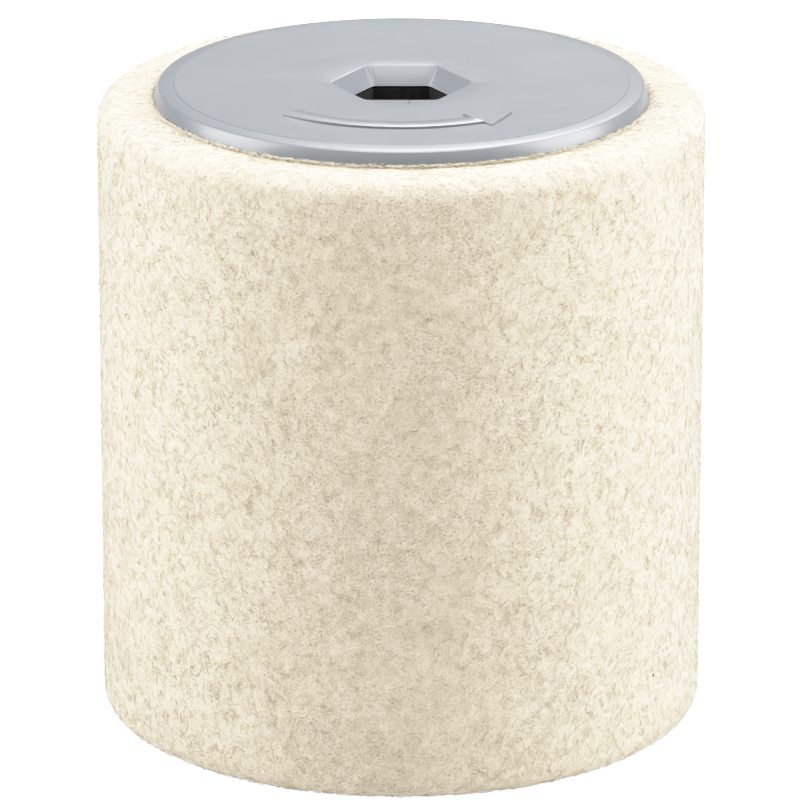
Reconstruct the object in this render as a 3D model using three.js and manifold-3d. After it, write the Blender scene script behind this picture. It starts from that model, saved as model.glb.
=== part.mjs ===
// Felt polishing wheel: a drum of pressed wool felt bonded to a stiff tube, closed at each end by a
// moulded cap, and driven through a hexagonal tube that runs from cap to cap. Each cap has a six-sided
// lead-in that guides the machine's hexagonal spindle into the drive tube.
// Millimetres, +Z along the wheel's axis, origin at the centre of the lower cap's flat face.

import * as THREE from 'three';
import Module from 'manifold-3d';
import { mergeVertices } from 'three/addons/utils/BufferGeometryUtils.js';

const wasm = await Module();
wasm.setup();

// ---------------------------------------------------------------------------------------------
// Driving dimensions
// ---------------------------------------------------------------------------------------------

// Felt sleeve
const feltDiameter = 100;
const feltLength = 105;
const feltThickness = 10.5;
const feltEdgeRadius = 3;

// Core tube under the felt
const coreWall = 3.2;
const glueLine = 0.3;

// End caps
const capRise = 2.8; // the cap's flat face stands this far out from the felt's end
const capCover = 1.5; // the flange reaches this far over the felt, beyond its bore
const skirtWidth = 1.0; // the steep outer slope, measured across
const skirtHeight = 2.45; // and how high the slope ends above the felt
const shoulderWidth = 2.6; // the gentle slope between the skirt and the flat face
const spigotLength = 14;
const spigotWall = 2.4;
const spigotLeadIn = 1;
const ribHeight = 9;
const ribThickness = 2;

// Hexagonal drive
const boreAcrossFlats = 16;
const driveTubeWall = 2;
const funnelDepth = 3.2;
const funnelFlare = 2.2; // how far each side of the lead-in opens outwards
const socketDepth = 11;
const socketWall = 2.4;
const fitClearance = 0.3;

// Centre web
const webThickness = 3;
const webRimHeight = 10;
const webRimWall = 2.4;
const webWindowRadius = 7;

// Raised arrow that shows which way the wheel turns, on the upper cap only
const arrowReach = 26; // radius of the arrow's middle line
const arrowBandWidth = 3.4;
const arrowHeadWidth = 8;
const arrowHalfAngle = THREE.MathUtils.degToRad(44);
const arrowHeadAngle = THREE.MathUtils.degToRad(15);
const arrowRelief = 0.4;

// Facets on the round pieces, and how far a cutter runs past the face that it cuts
const roundSegments = 72;
const edgeSegments = 5;
const holeSegments = 20;
const overrun = 1;

// ---------------------------------------------------------------------------------------------
// Sizes that follow from them
// ---------------------------------------------------------------------------------------------

const hexSides = 6;
const overallLength = feltLength + 2 * capRise;
const feltBoreRadius = feltDiameter / 2 - feltThickness;
const coreRadius = feltBoreRadius - glueLine;
const coreBoreRadius = coreRadius - coreWall;
const capRadius = feltBoreRadius + capCover;
const shoulderRadius = capRadius - skirtWidth;
const faceRadius = shoulderRadius - shoulderWidth;
const spigotRadius = coreBoreRadius - glueLine;
const driveTubeAcrossFlats = boreAcrossFlats + 2 * driveTubeWall;
const socketAcrossFlats = driveTubeAcrossFlats + 2 * fitClearance;
const bossAcrossFlats = socketAcrossFlats + 2 * socketWall;
const driveTubeEnd = funnelDepth + fitClearance; // below the cap's flat face

// ---------------------------------------------------------------------------------------------
// Helpers
// ---------------------------------------------------------------------------------------------

// A closed three.js geometry as a solid: corners merged, collapsed triangles dropped, faces outward.
function toSolid(geometry) {
  const bare = geometry.clone();
  bare.deleteAttribute('normal');
  bare.deleteAttribute('uv');
  const merged = mergeVertices(bare);
  const corners = Array.from(merged.index.array);
  const triangles = [];
  for (let i = 0; i < corners.length; i += 3) {
    const [a, b, c] = corners.slice(i, i + 3);
    if (a !== b && b !== c && c !== a) triangles.push(a, b, c);
  }
  const vertProperties = new Float32Array(merged.attributes.position.array);
  const build = (order) => new wasm.Manifold(
    new wasm.Mesh({ numProp: 3, vertProperties, triVerts: new Uint32Array(order) }),
  );
  const solid = build(triangles);
  return solid.volume() > 0 ? solid : build(triangles.reverse());
}

// A solid back as a three.js geometry with flat facets.
function toGeometry(solid) {
  const mesh = solid.getMesh();
  const geometry = new THREE.BufferGeometry();
  geometry.setAttribute('position', new THREE.BufferAttribute(mesh.vertProperties, 3));
  geometry.setIndex(new THREE.BufferAttribute(mesh.triVerts, 1));
  geometry.computeVertexNormals();
  return geometry;
}

// A solid of revolution about Z from a profile of [radius, height] points.
function turned(profile) {
  const points = profile.map(([radius, height]) => new THREE.Vector2(radius, height));
  return toSolid(new THREE.LatheGeometry(points, roundSegments).rotateX(Math.PI / 2));
}

// A straight ring or tube about Z.
function ring(outerRadius, innerRadius, low, high) {
  return turned([
    [innerRadius, low], [outerRadius, low], [outerRadius, high], [innerRadius, high], [innerRadius, low],
  ]);
}

// A six-sided prism or frustum about Z, with corners on +X and -X, between two heights.
function hexagon(lowAcrossFlats, highAcrossFlats, low, high) {
  const cornerRadius = (acrossFlats) => acrossFlats / 2 / Math.cos(Math.PI / hexSides);
  const geometry = new THREE.CylinderGeometry(
    cornerRadius(highAcrossFlats), cornerRadius(lowAcrossFlats), high - low, hexSides,
  );
  geometry.rotateX(Math.PI / 2).rotateZ(Math.PI / hexSides).translate(0, 0, (low + high) / 2);
  return toSolid(geometry);
}

// A round bar along Z.
function roundBar(radius, low, high, x, y) {
  const geometry = new THREE.CylinderGeometry(radius, radius, high - low, holeSegments);
  return toSolid(geometry.rotateX(Math.PI / 2).translate(x, y, (low + high) / 2));
}

// Copies of one feature, evenly spaced round Z.
function turnedCopies(count, makeOne) {
  return Array.from({ length: count }, (_, index) => makeOne((index * 2 * Math.PI) / count));
}

// ---------------------------------------------------------------------------------------------
// Felt sleeve and core tube
// ---------------------------------------------------------------------------------------------

// A quarter round at one outer edge of the felt, as profile points from startAngle on.
function feltEdge(centreHeight, startAngle) {
  const centreRadius = feltDiameter / 2 - feltEdgeRadius;
  return Array.from({ length: edgeSegments + 1 }, (_, index) => {
    const angle = startAngle + (index / edgeSegments) * (Math.PI / 2);
    return [
      centreRadius + feltEdgeRadius * Math.cos(angle),
      centreHeight + feltEdgeRadius * Math.sin(angle),
    ];
  });
}

function makeFeltSleeve() {
  const low = capRise;
  const high = capRise + feltLength;
  return turned([
    [feltBoreRadius, low],
    ...feltEdge(low + feltEdgeRadius, -Math.PI / 2),
    ...feltEdge(high - feltEdgeRadius, 0),
    [feltBoreRadius, high],
    [feltBoreRadius, low],
  ]);
}

function makeCoreTube() {
  return ring(coreRadius, coreBoreRadius, capRise, capRise + feltLength);
}

// ---------------------------------------------------------------------------------------------
// End caps, modelled with the flat outer face at z = 0 and the inside below it
// ---------------------------------------------------------------------------------------------

// Flange, plate and spigot in one turned body.
function capBody() {
  const flangeUnderside = glueLine - capRise;
  const spigotEnd = -(capRise + spigotLength);
  return turned([
    [0, 0],
    [faceRadius, 0],
    [shoulderRadius, skirtHeight - capRise],
    [capRadius, flangeUnderside],
    [spigotRadius, flangeUnderside],
    [spigotRadius, spigotEnd + spigotLeadIn],
    [spigotRadius - spigotLeadIn / 2, spigotEnd],
    [spigotRadius - spigotWall, spigotEnd],
    [spigotRadius - spigotWall, -funnelDepth],
    [0, -funnelDepth],
  ]);
}

// A rib from the drive socket out to the spigot, along the direction of a hexagon's corner.
function capRib(angle) {
  const start = driveTubeAcrossFlats / 2;
  const end = spigotRadius - spigotWall / 2;
  const height = ribHeight + funnelDepth / 2;
  const geometry = new THREE.BoxGeometry(end - start, ribThickness, height);
  geometry.translate((start + end) / 2, 0, -funnelDepth - ribHeight + height / 2);
  return toSolid(geometry.rotateZ(angle));
}

// The lead-in: its sides keep their slope a little past both faces of the plate.
function funnelCutter() {
  const flarePerDepth = (2 * funnelFlare) / funnelDepth;
  const acrossFlatsAt = (height) => boreAcrossFlats + (height + funnelDepth) * flarePerDepth;
  const low = -funnelDepth - overrun;
  return hexagon(acrossFlatsAt(low), acrossFlatsAt(overrun), low, overrun);
}

function makeEndCap() {
  const socketEnd = -(funnelDepth + socketDepth);
  const boss = hexagon(bossAcrossFlats, bossAcrossFlats, socketEnd, -funnelDepth / 2);
  const socket = hexagon(socketAcrossFlats, socketAcrossFlats, socketEnd - overrun, -funnelDepth);
  const ribs = turnedCopies(hexSides, capRib);
  return ribs.reduce((cap, rib) => cap.add(rib), capBody().add(boss))
    .subtract(socket)
    .subtract(funnelCutter());
}

// A curved arrow that lies in front of the lead-in, centred on -Y, pointing round towards +X.
function makeArrow() {
  const middle = -Math.PI / 2;
  const tail = middle - arrowHalfAngle;
  const tip = middle + arrowHalfAngle;
  const neck = tip - arrowHeadAngle;
  const inner = arrowReach - arrowBandWidth / 2;
  const outer = arrowReach + arrowBandWidth / 2;
  const at = (radius, angle) => [radius * Math.cos(angle), radius * Math.sin(angle)];
  const outline = new THREE.Shape();
  outline.absarc(0, 0, outer, tail, neck, false);
  outline.lineTo(...at(arrowReach + arrowHeadWidth / 2, neck));
  outline.lineTo(...at(arrowReach, tip));
  outline.lineTo(...at(arrowReach - arrowHeadWidth / 2, neck));
  outline.absarc(0, 0, inner, neck, tail, true);
  const depth = arrowRelief + funnelDepth / 2;
  const geometry = new THREE.ExtrudeGeometry(outline, { depth, bevelEnabled: false, curveSegments: 24 });
  return toSolid(geometry.translate(0, 0, -funnelDepth / 2));
}

// ---------------------------------------------------------------------------------------------
// Drive tube and centre web
// ---------------------------------------------------------------------------------------------

function makeDriveTube() {
  const low = driveTubeEnd;
  const high = overallLength - driveTubeEnd;
  const outside = hexagon(driveTubeAcrossFlats, driveTubeAcrossFlats, low, high);
  const bore = hexagon(boreAcrossFlats, boreAcrossFlats, low - overrun, high + overrun);
  return outside.subtract(bore);
}

// A disc half way along the tubes, with a rim, a hub and six windows.
function makeCentreWeb() {
  const middle = overallLength / 2;
  const rimLow = middle - webRimHeight / 2;
  const rimHigh = middle + webRimHeight / 2;
  const discLow = middle - webThickness / 2;
  const discHigh = middle + webThickness / 2;
  const rimBore = spigotRadius - webRimWall;
  const profile = [
    [0, discLow], [rimBore, discLow], [rimBore, rimLow], [spigotRadius, rimLow],
    [spigotRadius, rimHigh], [rimBore, rimHigh], [rimBore, discHigh], [0, discHigh],
  ];
  const hub = hexagon(bossAcrossFlats, bossAcrossFlats, rimLow, rimHigh);
  const hole = hexagon(socketAcrossFlats, socketAcrossFlats, rimLow - overrun, rimHigh + overrun);
  const bossCorner = bossAcrossFlats / 2 / Math.cos(Math.PI / hexSides);
  const windowReach = (bossCorner + rimBore) / 2;
  const windowRadius = Math.min(webWindowRadius, (rimBore - bossCorner) / 2 - webRimWall / 2);
  const windows = turnedCopies(hexSides, (angle) => roundBar(
    windowRadius, discLow - overrun, discHigh + overrun,
    windowReach * Math.cos(angle), windowReach * Math.sin(angle),
  ));
  return windows.reduce((web, window) => web.subtract(window), turned(profile).add(hub).subtract(hole));
}

// ---------------------------------------------------------------------------------------------
// Materials and the assembly
// ---------------------------------------------------------------------------------------------

const finishes = {
  felt: new THREE.MeshStandardMaterial({ color: 0xe6dcc6, roughness: 1, metalness: 0 }),
  fibreboard: new THREE.MeshStandardMaterial({ color: 0x9a7448, roughness: 0.85, metalness: 0 }),
  greyPlastic: new THREE.MeshStandardMaterial({ color: 0xa9adb2, roughness: 0.42, metalness: 0 }),
  blackPlastic: new THREE.MeshStandardMaterial({ color: 0x161616, roughness: 0.5, metalness: 0 }),
};

const wheel = new THREE.Group();

function place(name, solid, material, height = 0, turnedOver = false) {
  const mesh = new THREE.Mesh(toGeometry(solid), material);
  mesh.name = name;
  mesh.position.z = height;
  if (turnedOver) mesh.rotation.x = Math.PI;
  wheel.add(mesh);
}

place('felt_sleeve', makeFeltSleeve(), finishes.felt);
place('core_tube', makeCoreTube(), finishes.fibreboard);
place('upper_end_cap', makeEndCap().add(makeArrow()), finishes.greyPlastic, overallLength);
place('lower_end_cap', makeEndCap(), finishes.greyPlastic, 0, true);
place('hex_drive_tube', makeDriveTube(), finishes.blackPlastic);
place('centre_web', makeCentreWeb(), finishes.blackPlastic);

export default wheel;
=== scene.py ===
# %% [markdown]
# # A felt polishing wheel
# The real wheel is a drum: a thick sleeve of pressed wool felt on a stiff tube, with a grey moulded cap
# at each end and a black six-sided tube through the middle that the machine's spindle drives.
# The imported model already fixes every size, so this lesson only makes the surfaces that a person sees.
# We start by loading that model, whose node boxes give the sizes below.

# %% Load the imported model
import math

import bmesh
import bpy
import numpy as np
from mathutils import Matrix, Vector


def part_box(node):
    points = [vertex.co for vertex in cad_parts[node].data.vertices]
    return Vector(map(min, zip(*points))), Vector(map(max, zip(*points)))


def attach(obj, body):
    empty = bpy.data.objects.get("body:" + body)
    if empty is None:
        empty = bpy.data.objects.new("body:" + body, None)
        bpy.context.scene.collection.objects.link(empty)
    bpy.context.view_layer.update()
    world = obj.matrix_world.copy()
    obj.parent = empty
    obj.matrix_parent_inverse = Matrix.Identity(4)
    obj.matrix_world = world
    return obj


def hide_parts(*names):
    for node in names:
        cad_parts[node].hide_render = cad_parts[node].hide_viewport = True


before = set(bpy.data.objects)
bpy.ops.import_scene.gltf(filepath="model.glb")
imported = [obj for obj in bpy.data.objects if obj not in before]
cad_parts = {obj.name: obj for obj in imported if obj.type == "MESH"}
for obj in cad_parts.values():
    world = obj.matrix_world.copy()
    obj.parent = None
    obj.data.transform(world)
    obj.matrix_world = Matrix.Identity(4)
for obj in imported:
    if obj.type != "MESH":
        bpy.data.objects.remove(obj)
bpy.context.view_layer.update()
print("nodes:", sorted(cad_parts))

# %% [markdown]
# ## Sizes
# Blender works in metres and a maker thinks in millimetres, so one constant turns one into the other.
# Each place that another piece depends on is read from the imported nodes, so the looks can't drift away
# from the model. Only the small shapes that are worn on top, such as fillets, get numbers of their own.

# %% Read the main sizes
MM = 0.001
FULL_TURN = 2 * math.pi

felt_low, felt_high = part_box("felt_sleeve")
cap_low, cap_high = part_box("upper_end_cap")
core_low, core_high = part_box("core_tube")

felt_radius = felt_high.x
felt_bottom = felt_low.z
felt_top = felt_high.z
cap_rise = felt_bottom
top_face = felt_top + cap_rise
middle_height = top_face / 2
glue_line = 0.3 * MM
felt_bore = core_high.x + glue_line
cap_radius = cap_high.x
print(f"felt {felt_radius * 2 / MM:.1f} mm across, {(felt_top - felt_bottom) / MM:.1f} mm long")
print(f"cap {cap_radius * 2 / MM:.1f} mm across, its face at {top_face / MM:.1f} mm")

# %% [markdown]
# ## Camera
# The camera comes before the pieces, so that every test render is seen from the same place. It stands
# well back with a long lens, which keeps the drum's sides nearly parallel. It looks down a little,
# enough to see into the top of the six-sided passage.

# %% Place the camera
CAMERA_DISTANCE = 1230.2 * MM
CAMERA_RISE = math.radians(18.52)
LENS = 331.3
AIM_HEIGHT = 55.15 * MM
AIM_ASIDE = -0.2 * MM

bpy.ops.object.select_all(action="DESELECT")
bpy.ops.object.camera_add(
    location=(
        AIM_ASIDE,
        -CAMERA_DISTANCE * math.cos(CAMERA_RISE),
        AIM_HEIGHT + CAMERA_DISTANCE * math.sin(CAMERA_RISE),
    ),
    rotation=(math.pi / 2 - CAMERA_RISE, 0, 0),
)
camera = bpy.context.active_object
camera.name = "studio_camera"
camera.data.sensor_width = 36
camera.data.lens = LENS
camera.data.clip_start = 0.05
camera.data.clip_end = 100
bpy.context.scene.camera = camera
print("camera at", tuple(round(x, 3) for x in camera.location))

# %% [markdown]
# ## Small helpers
# Operators act on what is selected, so each modelling step selects its own edges or faces first. By hand
# that is a click; here it is a test on each element's place or direction. These helpers do only that,
# and the finishing touches that every piece gets.


# %% Helpers for selecting and finishing
def edit(piece):
    """Make piece the only selected object and open it in edit mode."""
    bpy.ops.object.select_all(action="DESELECT")
    piece.select_set(True)
    bpy.context.view_layer.objects.active = piece
    bpy.ops.object.mode_set(mode="EDIT")


def leave_edit():
    bpy.ops.object.mode_set(mode="OBJECT")


def select_only(piece, kind, test):
    """In edit mode, select the verts, edges or faces that pass a test, and nothing else."""
    bpy.ops.mesh.select_all(action="DESELECT")
    bpy.ops.mesh.select_mode(type={"verts": "VERT", "edges": "EDGE", "faces": "FACE"}[kind])
    mesh = bmesh.from_edit_mesh(piece.data)
    chosen = [element for element in getattr(mesh, kind) if test(element)]
    for element in chosen:
        element.select_set(True)
    bmesh.update_edit_mesh(piece.data)
    return len(chosen)


def apply_modifier(piece, name, kind, **settings):
    """Add a modifier with these settings and apply it at once."""
    modifier = piece.modifiers.new(name, kind)
    for setting, value in settings.items():
        setattr(modifier, setting, value)
    bpy.context.view_layer.objects.active = piece
    bpy.ops.object.modifier_apply(modifier=modifier.name)


def face_outwards(piece):
    """Merge doubled vertices, then turn every face to the outside."""
    edit(piece)
    bpy.ops.mesh.select_all(action="SELECT")
    bpy.ops.mesh.remove_doubles(threshold=0.001 * MM)
    bpy.ops.mesh.normals_make_consistent(inside=False)
    leave_edit()


def apply_place(piece):
    """Move the object's place, turn and size into its mesh."""
    bpy.ops.object.select_all(action="DESELECT")
    piece.select_set(True)
    bpy.context.view_layer.objects.active = piece
    bpy.ops.object.transform_apply(location=True, rotation=True, scale=True)


def finish_piece(piece, name, material):
    """Name the piece, dress it in one material and let it ride with the wheel."""
    piece.name = name
    piece.data.name = name
    piece.data.materials.clear()
    piece.data.materials.append(material)
    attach(piece, "root")
    piece.data.calc_loop_triangles()
    print(f"{name}: {len(piece.data.loop_triangles)} triangles")
    return piece


def radius_of(vertex):
    return math.hypot(vertex.co.x, vertex.co.y)


# %% [markdown]
# ## Materials from nodes
# Each finish is a small graph of nodes. A helper adds a node, sets its values and wires its inputs, so
# that the recipe for each material reads like a list. Every pattern reads Object coordinates, which are
# metres on the wheel itself, so a noise scale of 1000 gives a pattern about one millimetre across.


# %% A helper for wiring nodes
class Recipe:
    """A new material with its shader, and short ways to add nodes to it."""

    def __init__(self, name):
        self.material = bpy.data.materials.new(name)
        self.material.use_nodes = True
        self.tree = self.material.node_tree
        self.shader = self.tree.nodes["Principled BSDF"]
        self.place = self.tree.nodes.new("ShaderNodeTexCoord").outputs["Object"]

    def set(self, **values):
        for name, value in values.items():
            self.shader.inputs[name.replace("_", " ")].default_value = value

    def link(self, source, target):
        self.tree.links.new(source, target)

    def node(self, kind, values=None, **settings):
        made = self.tree.nodes.new(kind)
        for name, value in settings.items():
            setattr(made, name, value)
        for name, value in (values or {}).items():
            if isinstance(value, bpy.types.NodeSocket):
                self.link(value, made.inputs[name])
            else:
                made.inputs[name].default_value = value
        return made

    def noise(self, scale, detail=2.0, roughness=0.5, distortion=0.0, vector=None):
        values = {"Vector": vector or self.place, "Scale": scale, "Detail": detail}
        values |= {"Roughness": roughness, "Distortion": distortion}
        return self.node("ShaderNodeTexNoise", values).outputs["Fac"]

    def ramp(self, factor, low, high, low_value=0.0, high_value=1.0):
        """Spread factor from low..high over low_value..high_value, and hold it there outside."""
        values = {"Value": factor, "From Min": low, "From Max": high}
        values |= {"To Min": low_value, "To Max": high_value}
        return self.node("ShaderNodeMapRange", values, clamp=True).outputs["Result"]

    def math(self, operation, first, second=0.0):
        made = self.node("ShaderNodeMath", operation=operation)
        for socket, value in zip(made.inputs, (first, second)):
            if isinstance(value, bpy.types.NodeSocket):
                self.link(value, socket)
            else:
                socket.default_value = value
        return made.outputs[0]

    def blend(self, factor, first, second):
        """Mix two colours, each a socket or three numbers, by factor."""
        made = self.node("ShaderNodeMix", data_type="RGBA")
        for socket, value in zip((made.inputs[0], made.inputs[6], made.inputs[7]), (factor, first, second)):
            if isinstance(value, bpy.types.NodeSocket):
                self.link(value, socket)
            else:
                socket.default_value = (*value, 1) if hasattr(value, "__len__") else value
        return made.outputs[2]

    def bump(self, height, distance, strength=1.0):
        values = {"Height": height, "Distance": distance, "Strength": strength}
        self.link(self.node("ShaderNodeBump", values).outputs["Normal"], self.shader.inputs["Normal"])


# %% [markdown]
# ### Felt
# Pressed wool is a mat of fine curled fibres in slightly different creams, with a few dark bits of plant
# in it. Up close the mat is mottled; from further away it is one warm cream with faint cloudy patches.
# Patterns at several scales give that: clouds, patches, mottling, threads, grain and rare specks. The
# sheen is what thousands of fine ends do to light at the drum's sides, where they turn it pale.

# %% Make the felt material
FELT_CREAM = (0.592, 0.518, 0.398)
FELT_PALE = (0.760, 0.690, 0.565)
FELT_TAN = (0.500, 0.435, 0.330)
FELT_SHADE = (0.305, 0.258, 0.183)
FELT_SPECK = (0.09, 0.06, 0.035)

# Noise scales, in patterns to the metre
CLOUD_SCALE = 48
SPECK_SCALE = 190
PATCH_SCALE = 620
MOTTLE_SCALE = 1500
LONG_THREAD_SCALE = 1500
SHORT_THREAD_SCALE = 2900
GRAIN_SCALE = 4600

SPECK_SHARE = 0.07
WOOL_SHEEN = {"Sheen_Weight": 1.0, "Sheen_Roughness": 0.22, "Sheen_Tint": (1.0, 1.0, 0.98, 1.0)}


def add_threads(recipe, scale, wander):
    """A net of thin wandering lines, 1 on a line and 0 between them."""
    stray = recipe.node("ShaderNodeTexNoise", {"Vector": recipe.place, "Scale": scale * 0.45, "Detail": 2.0})
    values = {0: stray.outputs["Color"], 1: (wander, wander, wander), 2: recipe.place}
    moved = recipe.node("ShaderNodeVectorMath", values, operation="MULTIPLY_ADD").outputs[0]
    values = {"Vector": moved, "Scale": scale}
    net = recipe.node("ShaderNodeTexVoronoi", values, feature="DISTANCE_TO_EDGE")
    return recipe.ramp(net.outputs["Distance"], 0.03, 0.20, 1, 0)


def make_felt_material():
    recipe = Recipe("felt_wool")
    clouds = recipe.ramp(recipe.noise(CLOUD_SCALE, 3, 0.6), 0.38, 0.66)
    patches = recipe.ramp(recipe.noise(PATCH_SCALE, 3, 0.6, 0.6), 0.36, 0.60)
    mottle = recipe.ramp(recipe.noise(MOTTLE_SCALE, 4, 0.75, 0.8), 0.34, 0.66)
    grain = recipe.noise(GRAIN_SCALE, 2, 0.7, 0.5)
    long_threads = add_threads(recipe, LONG_THREAD_SCALE, 1.1 * MM)
    short_threads = add_threads(recipe, SHORT_THREAD_SCALE, 0.6 * MM)
    threads = recipe.math("MAXIMUM", long_threads, short_threads)
    body = recipe.blend(mottle, FELT_SHADE, FELT_CREAM)
    body = recipe.blend(recipe.ramp(grain, 0.32, 0.68, 0.1, 0.8), FELT_SHADE, body)
    body = recipe.blend(recipe.ramp(threads, 0, 1, 0, 0.7), body, FELT_PALE)
    body = recipe.blend(recipe.ramp(patches, 0, 1, 0.30, 0), body, FELT_SHADE)
    body = recipe.blend(recipe.ramp(clouds, 0, 1, 0, 0.35), body, FELT_CREAM)
    cells = recipe.node("ShaderNodeTexVoronoi", {"Vector": recipe.place, "Scale": SPECK_SCALE})
    near_centre = recipe.ramp(cells.outputs["Distance"], 0.05, 0.085, 1, 0)
    chosen = recipe.node("ShaderNodeSeparateColor", {"Color": cells.outputs["Color"]}).outputs["Red"]
    speck = recipe.math("MULTIPLY", near_centre, recipe.math("GREATER_THAN", chosen, 1 - SPECK_SHARE))
    recipe.link(recipe.blend(speck, body, FELT_SPECK), recipe.shader.inputs["Base Color"])
    recipe.set(Roughness=0.95, Specular_IOR_Level=0.15, **WOOL_SHEEN)
    relief = recipe.math("ADD", threads, recipe.math("ADD", mottle, grain))
    recipe.bump(relief, 0.05 * MM, 0.5)
    return recipe.material


felt_material = make_felt_material()

# %% [markdown]
# ### Loose fibres
# The strands that stand out of the mat are the same wool, but each has its own tone. A colour attribute
# on the mesh carries one number for each strand, and the material turns it into a colour between tan
# and nearly white. An attribute is used because a noise would change along the strand as well.

# %% Make the fibre material
TONE = "strand_tone"


def make_fibre_material():
    recipe = Recipe("felt_strands")
    tone = recipe.node("ShaderNodeAttribute", attribute_name=TONE, attribute_type="GEOMETRY").outputs["Fac"]
    body = recipe.blend(recipe.ramp(tone, 0, 0.5), FELT_TAN, FELT_CREAM)
    body = recipe.blend(recipe.ramp(tone, 0.5, 1), body, FELT_PALE)
    recipe.link(body, recipe.shader.inputs["Base Color"])
    recipe.set(Roughness=0.8, Specular_IOR_Level=0.2, **WOOL_SHEEN)
    return recipe.material


fibre_material = make_fibre_material()

# %% [markdown]
# ### Grey moulded plastic
# The caps are injection moulded in grey plastic with a satin skin. Three things give such a part away:
# the skin's fine grain, faint cloudy flow marks where the melt ran, and a knit line where two streams
# of it met again in front of the passage. The knit line is a short thin band of darker plastic, made
# from the distance to the line and faded out at both of its ends.

# %% Make the grey plastic
PLASTIC_GREY = (0.148, 0.158, 0.171)
PLASTIC_FLOW = (0.164, 0.174, 0.187)
PLASTIC_LINE = (0.050, 0.055, 0.062)
KNIT_LINE_X = 1.3 * MM
KNIT_LINE_HALF_WIDTH = 0.14 * MM
KNIT_LINE_NEAR = -14.5 * MM
KNIT_LINE_FAR = -10 * MM
FLOW_SCALE = 60
SCUFF_SCALE = 240
SKIN_SCALE = 5200


def make_grey_plastic():
    recipe = Recipe("grey_moulded_plastic")
    stretched = recipe.node("ShaderNodeMapping", {"Vector": recipe.place, "Scale": (1.0, 2.6, 1.0)})
    flow = recipe.noise(FLOW_SCALE, 4, 0.6, 1.2, stretched.outputs["Vector"])
    grain = recipe.noise(SKIN_SCALE, 2, 0.5)
    scuffs = recipe.ramp(recipe.noise(SCUFF_SCALE, 5, 0.7, 2.5, stretched.outputs["Vector"]), 0.60, 0.74)
    body = recipe.blend(recipe.ramp(flow, 0.45, 0.75, 0, 0.8), PLASTIC_GREY, PLASTIC_FLOW)
    body = recipe.blend(recipe.ramp(scuffs, 0, 1, 0, 0.35), body, PLASTIC_FLOW)
    place = recipe.node("ShaderNodeSeparateXYZ", {"Vector": recipe.place})
    away = recipe.math("ABSOLUTE", recipe.math("SUBTRACT", place.outputs["X"], KNIT_LINE_X))
    on_line = recipe.ramp(away, KNIT_LINE_HALF_WIDTH * 0.5, KNIT_LINE_HALF_WIDTH * 1.6, 0.9, 0)
    in_front = recipe.ramp(place.outputs["Y"], KNIT_LINE_FAR - 0.3 * MM, KNIT_LINE_FAR, 1, 0)
    not_far = recipe.ramp(place.outputs["Y"], KNIT_LINE_NEAR, KNIT_LINE_NEAR + 2.5 * MM)
    on_line = recipe.math("MULTIPLY", on_line, recipe.math("MULTIPLY", in_front, not_far))
    recipe.link(recipe.blend(on_line, body, PLASTIC_LINE), recipe.shader.inputs["Base Color"])
    rough = recipe.math("ADD", recipe.ramp(flow, 0.3, 0.7, 0.285, 0.305), recipe.ramp(scuffs, 0, 1, 0, 0.02))
    recipe.link(rough, recipe.shader.inputs["Roughness"])
    recipe.set(IOR=1.5)
    recipe.bump(recipe.math("ADD", grain, recipe.ramp(scuffs, 0, 1, 0, 0.6)), 0.006 * MM, 0.5)
    return recipe.material


grey_plastic = make_grey_plastic()

# %% [markdown]
# ### Black plastic and fibreboard
# Two finishes are hardly seen. The drive tube and the web are black plastic, dull and a little scratched
# along their length where the spindle slides in. The core tube is wound fibreboard, brown, with the
# faint spiral that winding leaves.


# %% Make the hidden finishes
def make_black_plastic():
    recipe = Recipe("black_moulded_plastic")
    drawn = recipe.node("ShaderNodeMapping", {"Vector": recipe.place, "Scale": (1.0, 1.0, 0.06)})
    scratches = recipe.noise(2600, 3, 0.6, 0.0, drawn.outputs["Vector"])
    tone = recipe.blend(recipe.ramp(scratches, 0.5, 0.72), (0.008, 0.008, 0.008), (0.020, 0.020, 0.020))
    recipe.link(tone, recipe.shader.inputs["Base Color"])
    recipe.link(recipe.ramp(scratches, 0.3, 0.7, 0.42, 0.62), recipe.shader.inputs["Roughness"])
    recipe.bump(scratches, 0.01 * MM, 0.5)
    return recipe.material


def make_fibreboard():
    recipe = Recipe("wound_fibreboard")
    pulp = recipe.noise(700, 5, 0.65)
    tone = recipe.blend(recipe.ramp(pulp, 0.3, 0.7), (0.22, 0.12, 0.05), (0.36, 0.21, 0.10))
    spiral = recipe.node("ShaderNodeTexWave", {"Vector": recipe.place, "Scale": 4.0}, bands_direction="Z")
    seam = recipe.ramp(spiral.outputs["Fac"], 0.97, 1.0, 0, 0.5)
    recipe.link(recipe.blend(seam, tone, (0.12, 0.06, 0.025)), recipe.shader.inputs["Base Color"])
    recipe.set(Roughness=0.85)
    recipe.bump(pulp, 0.05 * MM, 0.6)
    return recipe.material


black_plastic = make_black_plastic()
fibreboard = make_fibreboard()

# %% [markdown]
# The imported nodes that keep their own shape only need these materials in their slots.


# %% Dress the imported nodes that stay
def dress_node(name, material):
    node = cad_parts[name]
    node.data.materials.clear()
    node.data.materials.append(material)
    print(name, "wears", material.name)


dress_node("hex_drive_tube", black_plastic)
dress_node("centre_web", black_plastic)
dress_node("core_tube", fibreboard)

# %% [markdown]
# ## Felt sleeve
# The sleeve could be a cylinder with a hole cut in it, but its section is so simple that spinning it is
# quicker: a tall rectangle, rounded at its two outer corners, turned once round the axis. The long sides
# are cut finely before the spin, so that the mesh has a vertex every half millimetre and can carry the
# lumps of the mat as real shape.

# %% Draw the sleeve's section
FELT_EDGE_RADIUS = 3.0 * MM
FELT_STEP = 0.52 * MM
EDGE_SEGMENTS = 9


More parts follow.
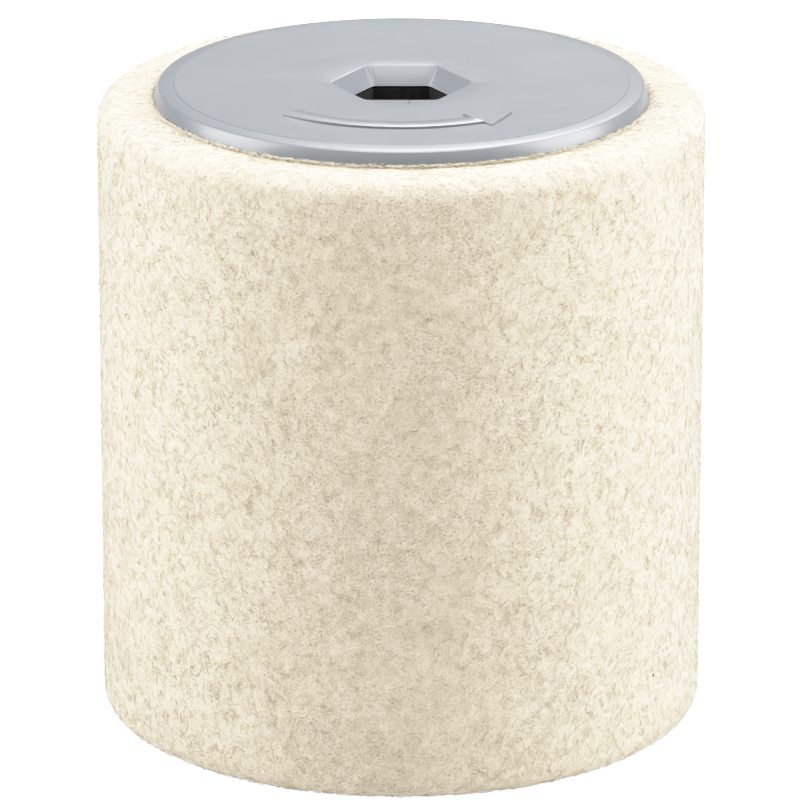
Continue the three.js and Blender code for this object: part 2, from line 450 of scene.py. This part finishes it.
def draw_felt_section():
    """A flat rectangle in the XZ plane, from the bore to the outside, with its outer corners rounded."""
    bpy.ops.object.select_all(action="DESELECT")
    bpy.ops.mesh.primitive_plane_add(size=1, rotation=(math.pi / 2, 0, 0))
    section = bpy.context.active_object
    section.scale = (felt_radius - felt_bore, felt_top - felt_bottom, 1)
    section.location = ((felt_radius + felt_bore) / 2, 0, (felt_top + felt_bottom) / 2)
    apply_place(section)
    edit(section)
    select_only(section, "verts", lambda v: v.co.x > felt_radius - 0.01 * MM)
    bpy.ops.mesh.bevel(offset=FELT_EDGE_RADIUS, segments=EDGE_SEGMENTS, affect="VERTICES")
    bpy.ops.mesh.select_all(action="SELECT")
    bpy.ops.mesh.delete(type="ONLY_FACE")
    return section


def is_long(edge):
    return edge.calc_length() > 1.6 * FELT_STEP and max(v.co.x for v in edge.verts) > cap_radius - 2 * MM


felt_sleeve = draw_felt_section()
while select_only(felt_sleeve, "edges", is_long):
    bpy.ops.mesh.subdivide(number_cuts=1)
print("section has", len(bmesh.from_edit_mesh(felt_sleeve.data).verts), "points")

# %% [markdown]
# A spin of six hundred steps makes the section a closed ring of small faces. Two displace modifiers then
# raise the mat's lumps, first broad and then fine. They work on a vertex group that leaves out the bore,
# so the felt keeps its fit on the core tube.

# %% Spin the section and raise the lumps of the mat
FELT_STEPS_ROUND = 600
LUMPS = ((7.0 * MM, 0.3 * MM), (1.3 * MM, 0.16 * MM))


def spin_once_round(piece, steps):
    bpy.ops.mesh.select_all(action="SELECT")
    bpy.ops.mesh.spin(steps=steps, angle=FULL_TURN, center=(0, 0, 0), axis=(0, 0, 1), use_auto_merge=True)
    leave_edit()
    face_outwards(piece)


def raise_lumps(piece, size, height, group):
    """Push the mesh in and out along its normals by a cloudy pattern of this size."""
    pattern = bpy.data.textures.new(f"lumps_{size / MM:.1f}", "CLOUDS")
    pattern.noise_scale = size
    pattern.noise_depth = 2
    settings = {"texture": pattern, "texture_coords": "LOCAL", "strength": height, "mid_level": 0.5}
    apply_modifier(piece, "lumps", "DISPLACE", vertex_group=group, **settings)


spin_once_round(felt_sleeve, FELT_STEPS_ROUND)
outside = felt_sleeve.vertex_groups.new(name="outside")
outside.add([v.index for v in felt_sleeve.data.vertices if radius_of(v) > cap_radius], 1, "ADD")
for size, height in LUMPS:
    raise_lumps(felt_sleeve, size, height, "outside")
bpy.ops.object.select_all(action="DESELECT")
felt_sleeve.select_set(True)
bpy.ops.object.shade_smooth()
finish_piece(felt_sleeve, "felt_body", felt_material)
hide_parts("felt_sleeve")

# %% [markdown]
# ## Fibres of the felt
# Wool felt is never clean at its surface: short curled strands lie on the mat, and some stand up and
# blur the outline. Hair particles could do this, but an export would lose them. So a few strands are
# modelled one by one, each a thin three-sided tube that tapers to a point at both ends, and then copied
# over the surface many thousand times with a turn, a length and a tone of their own.

# %% Model a few strands
STRAND_THICKNESS = 0.040 * MM
STRAND_SIDES = 3
STRAND_RINGS = 5


def strand_path(length, bend, wave, lift):
    """Points along a curled strand that lies along X, bends sideways and arches up in the middle."""
    points = []
    for step in range(STRAND_RINGS):
        along = step / (STRAND_RINGS - 1) - 0.5
        sideways = bend * (0.25 - along * along) + wave * math.sin(FULL_TURN * along)
        height = lift[0] + (lift[1] - lift[0]) * (along + 0.5) + lift[2] * (1 - 4 * along * along)
        points.append((along * length, sideways, height))
    return points


def model_strand(name, length, bend, wave, lift):
    """Extrude a small triangle from point to point, then pinch both of its ends shut."""
    path = strand_path(length * MM, bend * MM, wave * MM, [h * MM for h in lift])
    bpy.ops.object.select_all(action="DESELECT")
    bpy.ops.mesh.primitive_circle_add(
        vertices=STRAND_SIDES, radius=STRAND_THICKNESS, location=path[0], rotation=(0, math.pi / 2, 0)
    )
    strand = bpy.context.active_object
    apply_place(strand)
    edit(strand)
    bpy.ops.mesh.select_all(action="SELECT")
    for here, there in zip(path, path[1:]):
        step = [b - a for a, b in zip(here, there)]
        bpy.ops.mesh.extrude_region_move(TRANSFORM_OT_translate={"value": step})
    for end in (path[-1], path[0]):
        select_only(strand, "verts", lambda v: abs(v.co.x - end[0]) < 0.01 * MM)
        bpy.ops.mesh.merge(type="CENTER")
    leave_edit()
    face_outwards(strand)
    edit(strand)
    bpy.ops.mesh.select_all(action="SELECT")
    bpy.ops.mesh.quads_convert_to_tris()
    bpy.ops.uv.smart_project(island_margin=0.02)
    leave_edit()
    strand.name = name
    return strand


# Each shape has its length, bend and wave, its height at the start and the end, and its arch.
strand_shapes = {
    "strand_arc": (1.7, 1.9, 0.0, (0.04, 0.07, 0.14)),
    "strand_wave": (2.1, 0.4, 0.30, (0.07, 0.02, 0.11)),
    "strand_hook": (1.2, 2.4, 0.15, (0.00, 0.22, 0.07)),
    "strand_curl": (0.9, 1.8, 0.20, (0.06, 0.13, 0.13)),
    "strand_up": (1.0, 0.5, 0.10, (0.00, 0.48, 0.04)),
}
strands = [model_strand(name, *shape) for name, shape in strand_shapes.items()]
print("strands:", [s.name for s in strands])

# %% [markdown]
# Copying a strand seventy thousand times with an operator would take hours, so this step reads the
# modelled strands as arrays and writes their copies straight into a few large meshes. Each strand gets
# a square of its own on the UV map and one tone in the colour attribute.


# %% Copy the strands over the felt
def read_strand(strand):
    """The strand's points, its triangles and their places on its UV map, as arrays."""
    mesh = strand.data
    points = np.array([v.co[:] for v in mesh.vertices])
    faces = np.array([p.vertices[:] for p in mesh.polygons])
    places = np.array([loop.uv[:] for loop in mesh.uv_layers.active.data])
    return points, faces, places


strand_arrays = [read_strand(strand) for strand in strands]
for strand in strands:
    bpy.data.objects.remove(strand)

rng = np.random.default_rng(7)


def on_the_side(count):
    """Random places on the drum's side, with the outward direction at each."""
    angle = rng.uniform(0, FULL_TURN, count)
    height = rng.uniform(felt_bottom + FELT_EDGE_RADIUS, felt_top - FELT_EDGE_RADIUS, count)
    outward = np.stack([np.cos(angle), np.sin(angle), np.zeros(count)], 1)
    return outward * felt_radius + np.array([0, 0, 1]) * height[:, None], outward


def on_an_end(count, sign, inner):
    """Random places on one rounded edge and its flat ring, with the outward direction at each."""
    angle = rng.uniform(0, FULL_TURN, count)
    flat = felt_radius - FELT_EDGE_RADIUS - inner
    round_length = FELT_EDGE_RADIUS * math.pi / 2
    along = rng.uniform(0, flat + round_length, count)
    lean = np.clip(along - flat, 0, None) / FELT_EDGE_RADIUS
    radius = inner + np.minimum(along, flat) + FELT_EDGE_RADIUS * np.sin(lean)
    level = felt_top if sign > 0 else felt_bottom
    height = level - sign * FELT_EDGE_RADIUS * (1 - np.cos(lean))
    around = np.stack([np.cos(angle), np.sin(angle), np.zeros(count)], 1)
    outward = around * np.sin(lean)[:, None] + np.array([0, 0, sign]) * np.cos(lean)[:, None]
    return around * radius[:, None] + np.array([0, 0, 1]) * height[:, None], outward


def frames_for(outward):
    """Two directions along the surface at each place, turned at random round the outward one."""
    helper = np.where(np.abs(outward[:, 2:]) < 0.9, [[0, 0, 1.0]], [[1.0, 0, 0]])
    first = np.cross(helper, outward)
    first /= np.linalg.norm(first, axis=1)[:, None]
    second = np.cross(outward, first)
    turn = rng.uniform(0, FULL_TURN, len(outward))[:, None]
    return first * np.cos(turn) + second * np.sin(turn), second * np.cos(turn) - first * np.sin(turn)


def mesh_from_arrays(name, points, faces, uvs, shade):
    """A mesh of triangles with its UV map and one tone at each point."""
    mesh = bpy.data.meshes.new(name)
    mesh.vertices.add(len(points))
    mesh.vertices.foreach_set("co", points.ravel())
    mesh.loops.add(faces.size)
    mesh.loops.foreach_set("vertex_index", faces.ravel())
    mesh.polygons.add(len(faces))
    mesh.polygons.foreach_set("loop_start", np.arange(0, faces.size, 3))
    mesh.update(calc_edges=True)
    mesh.uv_layers.new(name="OFBake").data.foreach_set("uv", uvs.ravel())
    colours = np.stack([shade, shade, shade, np.ones_like(shade)], 1)
    mesh.color_attributes.new(TONE, "FLOAT_COLOR", "POINT").data.foreach_set("color", colours.ravel())
    mesh.shade_smooth()
    return mesh


def write_strands(name, places, outward, smallest, largest, sink, palest=0.0):
    """One mesh that holds a copy of some strand at every place, with no tone below the palest."""
    count = len(places)
    first, second = frames_for(outward)
    size = rng.uniform(smallest, largest, count)
    kind = rng.integers(0, len(strand_arrays), count)
    tone = palest + (1 - palest) * rng.beta(2.2, 1.8, count)
    across = math.ceil(math.sqrt(count))
    points, faces, uvs, tones, start = [], [], [], [], 0
    for index, (shape, shape_faces, shape_uvs) in enumerate(strand_arrays):
        mine = np.flatnonzero(kind == index)
        local = shape[None] * size[mine, None, None]
        placed = (
            places[mine, None]
            + local[:, :, :1] * first[mine, None]
            + local[:, :, 1:2] * second[mine, None]
            + (local[:, :, 2:] - sink) * outward[mine, None]
        )
        points.append(placed.reshape(-1, 3))
        offsets = start + np.arange(len(mine)) * len(shape)
        faces.append((shape_faces[None] + offsets[:, None, None]).reshape(-1, 3))
        cell = np.stack([mine % across, mine // across], 1)[:, None]
        uvs.append(((cell + 0.1 + 0.8 * shape_uvs[None]) / across).reshape(-1, 2))
        tones.append(np.repeat(tone[mine], len(shape)))
        start += len(mine) * len(shape)
    mesh = mesh_from_arrays(name, *(np.concatenate(part) for part in (points, faces, uvs, tones)))
    piece = bpy.data.objects.new(name, mesh)
    bpy.context.scene.collection.objects.link(piece)
    return finish_piece(piece, name, fibre_material)


SIDE_PIECES = 5
STRANDS_PER_SIDE_PIECE = 10500
STRAND_SINK = 0.05 * MM
for number in range(SIDE_PIECES):
    places, outward = on_the_side(STRANDS_PER_SIDE_PIECE)
    write_strands(f"felt_strands_side_{number + 1}", places, outward, 0.6, 1.35, STRAND_SINK)

STRANDS_PER_END = 7000
for end_name, sign in (("top", 1), ("bottom", -1)):
    places, outward = on_an_end(STRANDS_PER_END, sign, cap_radius + 0.4 * MM)
    write_strands(f"felt_strands_{end_name}", places, outward, 0.5, 1.1, STRAND_SINK)

# %% [markdown]
# Where the cap meets the felt, the ends of cut fibres stand up round its foot as a thin white fringe.
# These strands start on the flat ring just outside the cap and lean in over its skirt.


# %% Add the fringe round each cap
FRINGE_WIDTH = 0.8 * MM
FRINGE_LEAN = math.radians(45)
FRINGE_LIFT = 0.15 * MM
FRINGE_PALEST = 0.8
STRANDS_PER_FRINGE = 4000


def round_the_cap(count, sign):
    """Random places close to a cap's foot, with a direction that leans in over the cap."""
    angle = rng.uniform(0, FULL_TURN, count)
    radius = cap_radius + rng.uniform(0.05 * MM, FRINGE_WIDTH, count)
    around = np.stack([np.cos(angle), np.sin(angle), np.zeros(count)], 1)
    upright = np.array([0, 0, sign * math.cos(FRINGE_LEAN)])
    level = felt_top if sign > 0 else felt_bottom
    return around * radius[:, None] + np.array([0, 0, level]), upright - around * math.sin(FRINGE_LEAN)


for end_name, sign in (("top", 1), ("bottom", -1)):
    places, outward = round_the_cap(STRANDS_PER_FRINGE, sign)
    write_strands(f"felt_fringe_{end_name}", places, outward, 0.7, 1.3, -FRINGE_LIFT, palest=FRINGE_PALEST)

# %% [markdown]
# ## End caps
# A cap is one moulding: a round flange with a six-sided lead-in, and behind it a spigot that plugs into
# the core tube, a socket for the drive tube and ribs between the two. A lathe shape alone can't turn
# into a hexagon, so the cap is built from rings of equal point counts, round ones and six-sided ones.
# They are first stacked like hoops and bridged, each to the next, and then every hoop is moved to its
# own height, which folds the plain tube into the cap. The face is dished by a third of a millimetre,
# as a wide moulding is when it cools.

# %% Lay out the cap's rings
RING_POINTS = 96
HEX_SIDES = 6
SHOULDER_RADIUS = cap_radius - 1.0 * MM
FACE_RADIUS = SHOULDER_RADIUS - 2.6 * MM
SHOULDER_DROP = 0.35 * MM
STEP_WIDTH = 0.16 * MM
STEP_DEPTH = 0.12 * MM
DISH_DEPTH = 0.3 * MM
BORE_ACROSS_FLATS = 16.0 * MM
MOUTH_ACROSS_FLATS = 20.4 * MM
SOCKET_ACROSS_FLATS = 20.6 * MM
BOSS_ACROSS_FLATS = 25.4 * MM
FUNNEL_DEPTH = 3.2 * MM
SOCKET_DEPTH = 11.0 * MM
SPIGOT_RADIUS = core_high.x - 3.2 * MM - glue_line
SPIGOT_WALL = 2.4 * MM
SPIGOT_END = cap_rise + 14.0 * MM
FOOT_DROP = cap_rise - glue_line


def dish(radius):
    """How far the face lies below its rim at this radius."""
    return -DISH_DEPTH * (1 - (radius / FACE_RADIUS) ** 2)


def face_rings(radii):
    return [("round", radius, dish(radius)) for radius in radii]


def shoulder_rings(count):
    """The flange's rounded shoulder, from the small step round the face out to the skirt."""
    start = FACE_RADIUS + STEP_WIDTH
    rings = []
    for step in range(count + 1):
        share = step / count
        drop = STEP_DEPTH + (SHOULDER_DROP - STEP_DEPTH) * (0.3 * share + 0.7 * share * share)
        rings.append(("round", start + (SHOULDER_RADIUS - start) * share, -drop))
    return rings


cap_rings = [
    ("hex", BORE_ACROSS_FLATS, -FUNNEL_DEPTH),
    ("hex", MOUTH_ACROSS_FLATS, dish(MOUTH_ACROSS_FLATS / 2)),
    *face_rings([15 * MM, 22 * MM, 29 * MM, 35 * MM, FACE_RADIUS]),
    *shoulder_rings(5),
    ("round", cap_radius, -FOOT_DROP),
    ("round", SPIGOT_RADIUS, -FOOT_DROP),
    ("round", SPIGOT_RADIUS, -SPIGOT_END),
    ("round", SPIGOT_RADIUS - SPIGOT_WALL, -SPIGOT_END),
    ("round", SPIGOT_RADIUS - SPIGOT_WALL, -FUNNEL_DEPTH),
    ("round", 17 * MM, -FUNNEL_DEPTH),
    ("hex", BOSS_ACROSS_FLATS, -FUNNEL_DEPTH),
    ("hex", BOSS_ACROSS_FLATS, -FUNNEL_DEPTH - SOCKET_DEPTH),
    ("hex", SOCKET_ACROSS_FLATS, -FUNNEL_DEPTH - SOCKET_DEPTH),
    ("hex", SOCKET_ACROSS_FLATS, -FUNNEL_DEPTH),
]
print(len(cap_rings), "rings")

# %% [markdown]
# The hoops stand five millimetres apart in the stack, so that no two lie on top of each other and the
# bridge between two neighbours can't be mistaken for another. The last hoop is bridged back to the
# first, which closes the body through the passage. Only then does each hoop move to its real height.

# %% Stack the rings, bridge them and fold the stack
STACK_STEP = 5 * MM


def add_ring(kind, size, height):
    """A ring of RING_POINTS points: a circle, or a hexagon with its sides cut into equal steps."""
    bpy.ops.object.select_all(action="DESELECT")
    if kind == "round":
        bpy.ops.mesh.primitive_circle_add(vertices=RING_POINTS, radius=size, location=(0, 0, height))
    else:
        corner = size / 2 / math.cos(math.pi / HEX_SIDES)
        bpy.ops.mesh.primitive_circle_add(
            vertices=HEX_SIDES, radius=corner, location=(0, 0, height), rotation=(0, 0, math.pi / 2)
        )
    ring = bpy.context.active_object
    apply_place(ring)
    if kind == "hex":
        edit(ring)
        bpy.ops.mesh.select_all(action="SELECT")
        bpy.ops.mesh.subdivide(number_cuts=RING_POINTS // HEX_SIDES - 1)
        leave_edit()
    return ring


def join_all(pieces):
    bpy.ops.object.select_all(action="DESELECT")
    for piece in pieces:
        piece.select_set(True)
    bpy.context.view_layer.objects.active = pieces[0]
    bpy.ops.object.join()
    return bpy.context.active_object


def level_of(vertex):
    """Which hoop of the stack a point belongs to."""
    return round(vertex.co.z / STACK_STEP)


def bridge_levels(piece, first, second):
    """Fill between two hoops of the stack."""
    edit(piece)
    select_only(piece, "edges", lambda e: {level_of(v) for v in e.verts} in ({first}, {second}))
    bpy.ops.mesh.bridge_edge_loops()
    leave_edit()


def fold_stack(piece, rings):
    """Move each hoop from its height in the stack to its height on the cap, the top one first."""
    edit(piece)
    levels = [level_of(v) for v in piece.data.vertices]
    for level, (_, _, height) in enumerate(rings):
        select_only(piece, "verts", lambda v, level=level: levels[v.index] == level)
        bpy.ops.transform.translate(value=(0, 0, height - level * STACK_STEP))
    leave_edit()


def model_cap():
    """One closed cap with the rim of its face at height 0 and the inside below it."""
    cap = join_all([add_ring(kind, size, n * STACK_STEP) for n, (kind, size, _) in enumerate(cap_rings)])
    count = len(cap_rings)
    for level in range(count):
        bridge_levels(cap, level, (level + 1) % count)
    fold_stack(cap, cap_rings)
    face_outwards(cap)
    return cap


cap_blank = model_cap()
print("cap blank:", len(cap_blank.data.polygons), "faces")

# %% [markdown]
# A moulding has no knife edges. The edges that meet at a clear angle get a small round, wider at the
# six ridges of the lead-in, where the real part shows a soft bright line.


# %% Round the edges of the cap
RIDGE_ROUND = 0.75 * MM
EDGE_ROUND = 0.2 * MM


def is_corner(edge):
    """True if both ends lie in the direction of a hexagon's corner."""
    sixth = FULL_TURN / HEX_SIDES
    turns = [math.atan2(v.co.y, v.co.x) / sixth for v in edge.verts]
    return all(abs(turn - round(turn)) < 0.01 for turn in turns)


def is_funnel_ridge(edge):
    """One of the six slanting edges where two sides of the lead-in meet."""
    low, high = sorted(v.co.z for v in edge.verts)
    reach = max(radius_of(v) for v in edge.verts)
    return high > -0.5 * MM and low < -FUNNEL_DEPTH + 0.1 * MM and reach < 12.5 * MM and is_corner(edge)


def is_sharp(edge):
    """An edge with a clear angle, but not the thin lip under the lead-in or the step round the face."""
    at_lip = all(v.co.z < -FUNNEL_DEPTH + 0.1 * MM and radius_of(v) < 9.6 * MM for v in edge.verts)
    at_step = all(abs(radius_of(v) - FACE_RADIUS) < 2 * STEP_WIDTH for v in edge.verts)
    return edge.calc_face_angle() > math.radians(28) and not at_lip and not at_step


edit(cap_blank)
print("ridges:", select_only(cap_blank, "edges", is_funnel_ridge))
bpy.ops.mesh.bevel(offset=RIDGE_ROUND, segments=4, affect="EDGES")
leave_edit()
edit(cap_blank)
print("other edges:", select_only(cap_blank, "edges", is_sharp))
bpy.ops.mesh.bevel(offset=EDGE_ROUND, segments=3, affect="EDGES")
leave_edit()
face_outwards(cap_blank)
print("rounded cap:", len(cap_blank.data.polygons), "faces")

# %% [markdown]
# Six ribs tie the socket to the spigot. Each is a bar with rounded edges, modelled once, turned into its
# place and joined to the moulding with a boolean, so that the cap stays one closed body.

# %% Add the ribs
RIB_THICKNESS = 2.0 * MM
RIB_HEIGHT = 9.0 * MM
RIB_TOP = 0.4 * MM - FUNNEL_DEPTH
RIB_ROUND = 0.4 * MM


def model_rib(angle):
    start = BOSS_ACROSS_FLATS / 2 / math.cos(math.pi / HEX_SIDES) - 1.2 * MM
    end = SPIGOT_RADIUS - SPIGOT_WALL / 2
    bpy.ops.object.select_all(action="DESELECT")
    middle = (start + end) / 2
    height = RIB_TOP - RIB_HEIGHT / 2
    bpy.ops.mesh.primitive_cube_add(size=1, location=(middle, 0, height))
    rib = bpy.context.active_object
    rib.scale = (end - start, RIB_THICKNESS, RIB_HEIGHT)
    apply_place(rib)
    edit(rib)
    select_only(rib, "edges", lambda e: all(v.co.z < -FUNNEL_DEPTH - 1 * MM for v in e.verts))
    bpy.ops.mesh.bevel(offset=RIB_ROUND, segments=2, affect="EDGES")
    leave_edit()
    rib.rotation_euler.z = angle
    apply_place(rib)
    return rib


def unite(piece, other):
    apply_modifier(piece, "union", "BOOLEAN", operation="UNION", solver="EXACT", object=other)
    bpy.data.objects.remove(other)


for number in range(HEX_SIDES):
    unite(cap_blank, model_rib(number * FULL_TURN / HEX_SIDES))
print("ribbed cap:", len(cap_blank.data.polygons), "faces")


# %% [markdown]
# ## The arrow
# On the upper cap a raised arrow shows which way the wheel turns. Its band starts as one short edge that
# lies along a radius, is spun round the wheel's axis and pulled up into a slab. Its head is a cylinder
# with three sides. A boolean joins the two, their upper rim is softened, and a second boolean makes the
# arrow and the cap one body, as they are in the mould.

# %% Model the arrow
ARROW_REACH = 26.0 * MM
ARROW_BAND = 3.4 * MM
ARROW_HEAD_WIDTH = 8.0 * MM
ARROW_HEAD_LENGTH = 6.9 * MM
ARROW_START = math.radians(-134)
ARROW_SWEEP = math.radians(73)
ARROW_LEAN = math.radians(7.5)
ARROW_RELIEF = 0.4 * MM
ARROW_ROOT = 0.9 * MM
ARROW_EDGE = 0.14 * MM
ARROW_OVERLAP = 0.3 * MM


def model_arrow_band():
    """Spin an edge into a flat curved band and pull it up into a slab."""
    bpy.ops.object.select_all(action="DESELECT")
    bpy.ops.mesh.primitive_plane_add(size=ARROW_BAND, location=(ARROW_REACH, ARROW_BAND / 2, 0))
    band = bpy.context.active_object
    apply_place(band)
    edit(band)
    select_only(band, "verts", lambda v: v.co.y > ARROW_BAND / 2)
    bpy.ops.mesh.delete(type="VERT")
    leave_edit()
    band.rotation_euler.z = ARROW_START
    apply_place(band)
    edit(band)
    bpy.ops.mesh.select_all(action="SELECT")
    bpy.ops.mesh.spin(steps=32, angle=-ARROW_SWEEP, center=(0, 0, 0), axis=(0, 0, 1))
    bpy.ops.mesh.select_all(action="SELECT")
    bpy.ops.mesh.extrude_region_move(TRANSFORM_OT_translate={"value": (0, 0, ARROW_ROOT + ARROW_RELIEF)})
    leave_edit()
    face_outwards(band)
    return band


def model_arrow_head():
    """A three-sided slab whose flat side meets the band's end and whose tip leans with the curve."""
    end = ARROW_START + ARROW_SWEEP
    thickness = ARROW_ROOT + ARROW_RELIEF
    bpy.ops.object.select_all(action="DESELECT")
    bpy.ops.mesh.primitive_cylinder_add(vertices=3, radius=1, depth=thickness)
    head = bpy.context.active_object
    head.scale = (ARROW_HEAD_WIDTH / math.sqrt(3), ARROW_HEAD_LENGTH / 1.5, 1)
    apply_place(head)
    forward = ARROW_HEAD_LENGTH / 3 - ARROW_OVERLAP
    head.rotation_euler.z = end + ARROW_LEAN
    head.location = (
        ARROW_REACH * math.cos(end) - forward * math.sin(end + ARROW_LEAN),
        ARROW_REACH * math.sin(end) + forward * math.cos(end + ARROW_LEAN),
        thickness / 2,
    )
    apply_place(head)
    return head


def is_upper_rim(edge):
    high = all(v.co.z > ARROW_ROOT for v in edge.verts)
    return high and edge.is_manifold and edge.calc_face_angle() > math.radians(60)


arrow = model_arrow_band()
unite(arrow, model_arrow_head())
edit(arrow)
print("arrow rim:", select_only(arrow, "edges", is_upper_rim), "edges")
bpy.ops.mesh.bevel(offset=ARROW_EDGE, segments=2, affect="EDGES")
leave_edit()
arrow.location.z = top_face + dish(ARROW_REACH) - ARROW_ROOT
apply_place(arrow)
face_outwards(arrow)
print("arrow:", len(arrow.data.polygons), "faces")

# %% [markdown]
# The moulding was made once, with the rim of its face at height nought. A copy is turned over for the
# lower end, where the face lies on the floor, and the first one is lifted to the top and gets the arrow.


# %% Place a cap at each end
def shade_moulding(piece):
    bpy.ops.object.select_all(action="DESELECT")
    piece.select_set(True)
    bpy.context.view_layer.objects.active = piece
    bpy.ops.object.shade_smooth_by_angle(angle=math.radians(24))


def copy_of(piece):
    bpy.ops.object.select_all(action="DESELECT")
    piece.select_set(True)
    bpy.context.view_layer.objects.active = piece
    bpy.ops.object.duplicate(linked=False)
    return bpy.context.active_object


lower_cap = copy_of(cap_blank)
lower_cap.rotation_euler.x = math.pi
apply_place(lower_cap)
upper_cap = cap_blank
upper_cap.location.z = top_face
apply_place(upper_cap)
unite(upper_cap, arrow)
for cap, name, node in ((upper_cap, "cap_upper", "upper_end_cap"), (lower_cap, "cap_lower", "lower_end_cap")):
    shade_moulding(cap)
    finish_piece(cap, name, grey_plastic)
    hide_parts(node)

# %% [markdown]
# ## Studio
# A pale floor, a bright even room, and four large soft lights. One at each side lightens the drum
# towards its edges and leaves the front a little deeper. One above makes the felt's end glow, and one
# high at the back draws the bright line round the cap's shoulder. The paper and the room look plain
# white, but give the wheel only part of that light, so that the shape of the drum isn't washed out.


# %% Floor, room and lights
PAPER_WHITE = 1.7
PAPER_TONE = 0.65
ROOM_LIGHT = 0.2
LIGHT_DISTANCE = 1.2
FLOOR_SIZE = 60
FLOOR_GAP = 0.02 * MM

# Each softbox has its azimuth and elevation in degrees, its width and height in metres, its watts.
SOFTBOXES = {
    "softbox_left": (-86, 30, 0.8, 0.9, 23.5),
    "softbox_right": (86, 30, 0.8, 0.9, 26.5),
    "softbox_back": (168, 41, 0.5, 0.3, 7),
    "softbox_top": (0, 84, 0.9, 0.9, 19),
}
FLOOR_GLOW_START = 0.5
FLOOR_GLOW_FULL = 1.6


def make_floor_paper():
    """Paper that looks white, and gives light of its own only where the lamps no longer reach."""
    recipe = Recipe("studio_paper")
    recipe.set(Base_Color=(PAPER_TONE, PAPER_TONE, PAPER_TONE, 1), Roughness=0.9, Specular_IOR_Level=0.1)
    distance = recipe.node("ShaderNodeVectorMath", {0: recipe.place}, operation="LENGTH").outputs["Value"]
    glow = recipe.ramp(distance, FLOOR_GLOW_START, FLOOR_GLOW_FULL, 0, 0.9)
    seen = recipe.node("ShaderNodeLightPath").outputs["Is Camera Ray"]
    glow = recipe.math("MAXIMUM", glow, recipe.math("MULTIPLY", seen, PAPER_WHITE))
    recipe.set(Emission_Color=(1, 1, 1, 1))
    recipe.link(glow, recipe.shader.inputs["Emission Strength"])
    return recipe.material


def model_floor():
    bpy.ops.object.select_all(action="DESELECT")
    bpy.ops.mesh.primitive_plane_add(size=FLOOR_SIZE, location=(0, 0, -FLOOR_GAP))
    floor = bpy.context.active_object
    floor.name = "studio_floor"
    apply_place(floor)
    floor.data.materials.append(make_floor_paper())
    return floor


def add_softbox(name, azimuth, elevation, width, height, power):
    """A large area light that faces the wheel. Azimuth 0 is the camera's side, 90 the right."""
    across, up = math.radians(azimuth), math.radians(elevation)
    bpy.ops.object.light_add(
        type="AREA",
        location=(
            LIGHT_DISTANCE * math.sin(across) * math.cos(up),
            -LIGHT_DISTANCE * math.cos(across) * math.cos(up),
            middle_height + LIGHT_DISTANCE * math.sin(up),
        ),
        rotation=(math.pi / 2 - up, 0, across),
    )
    light = bpy.context.active_object
    light.name = name
    light.data.shape = "RECTANGLE"
    light.data.size = width
    light.data.size_y = height
    light.data.energy = power


def light_the_room(strength):
    """A white room to look at, whose walls give only this much of their light to the wheel."""
    world = bpy.data.worlds.new("studio_room")
    world.use_nodes = True
    tree = world.node_tree
    background = tree.nodes["Background"]
    background.inputs["Color"].default_value = (1, 1, 1, 1)
    seen = tree.nodes.new("ShaderNodeLightPath").outputs["Is Camera Ray"]
    level = tree.nodes.new("ShaderNodeMapRange")
    level.inputs["To Min"].default_value = strength
    level.inputs["To Max"].default_value = PAPER_WHITE
    tree.links.new(seen, level.inputs["Value"])
    tree.links.new(level.outputs["Result"], background.inputs["Strength"])
    bpy.context.scene.world = world


studio_floor = model_floor()
for name, placing in SOFTBOXES.items():
    add_softbox(name, *placing)
light_the_room(ROOM_LIGHT)

# %% [markdown]
# A camera doesn't keep getting brighter until it burns out: near white it rolls off gently, so a white
# thing in strong light still shows a little of its shape. The view gets the same soft shoulder from a
# curve that follows the light up to about six tenths and then bends over towards white.

# %% Soften the highlights
SHOULDER = ((0.35, 0.35), (0.60, 0.60), (0.80, 0.765), (1.00, 0.87), (1.25, 0.945))


def soften_highlights(points):
    view = bpy.context.scene.view_settings
    view.view_transform = "Standard"
    view.use_curve_mapping = True
    mapping = view.curve_mapping
    mapping.clip_max_x = PAPER_WHITE
    curve = mapping.curves[3]
    curve.points[1].location = (PAPER_WHITE, 1)
    for light, shown in points:
        curve.points.new(light, shown)
    mapping.update()
    print("highlight curve:", [tuple(round(x, 2) for x in point.location) for point in curve.points])


soften_highlights(SHOULDER)
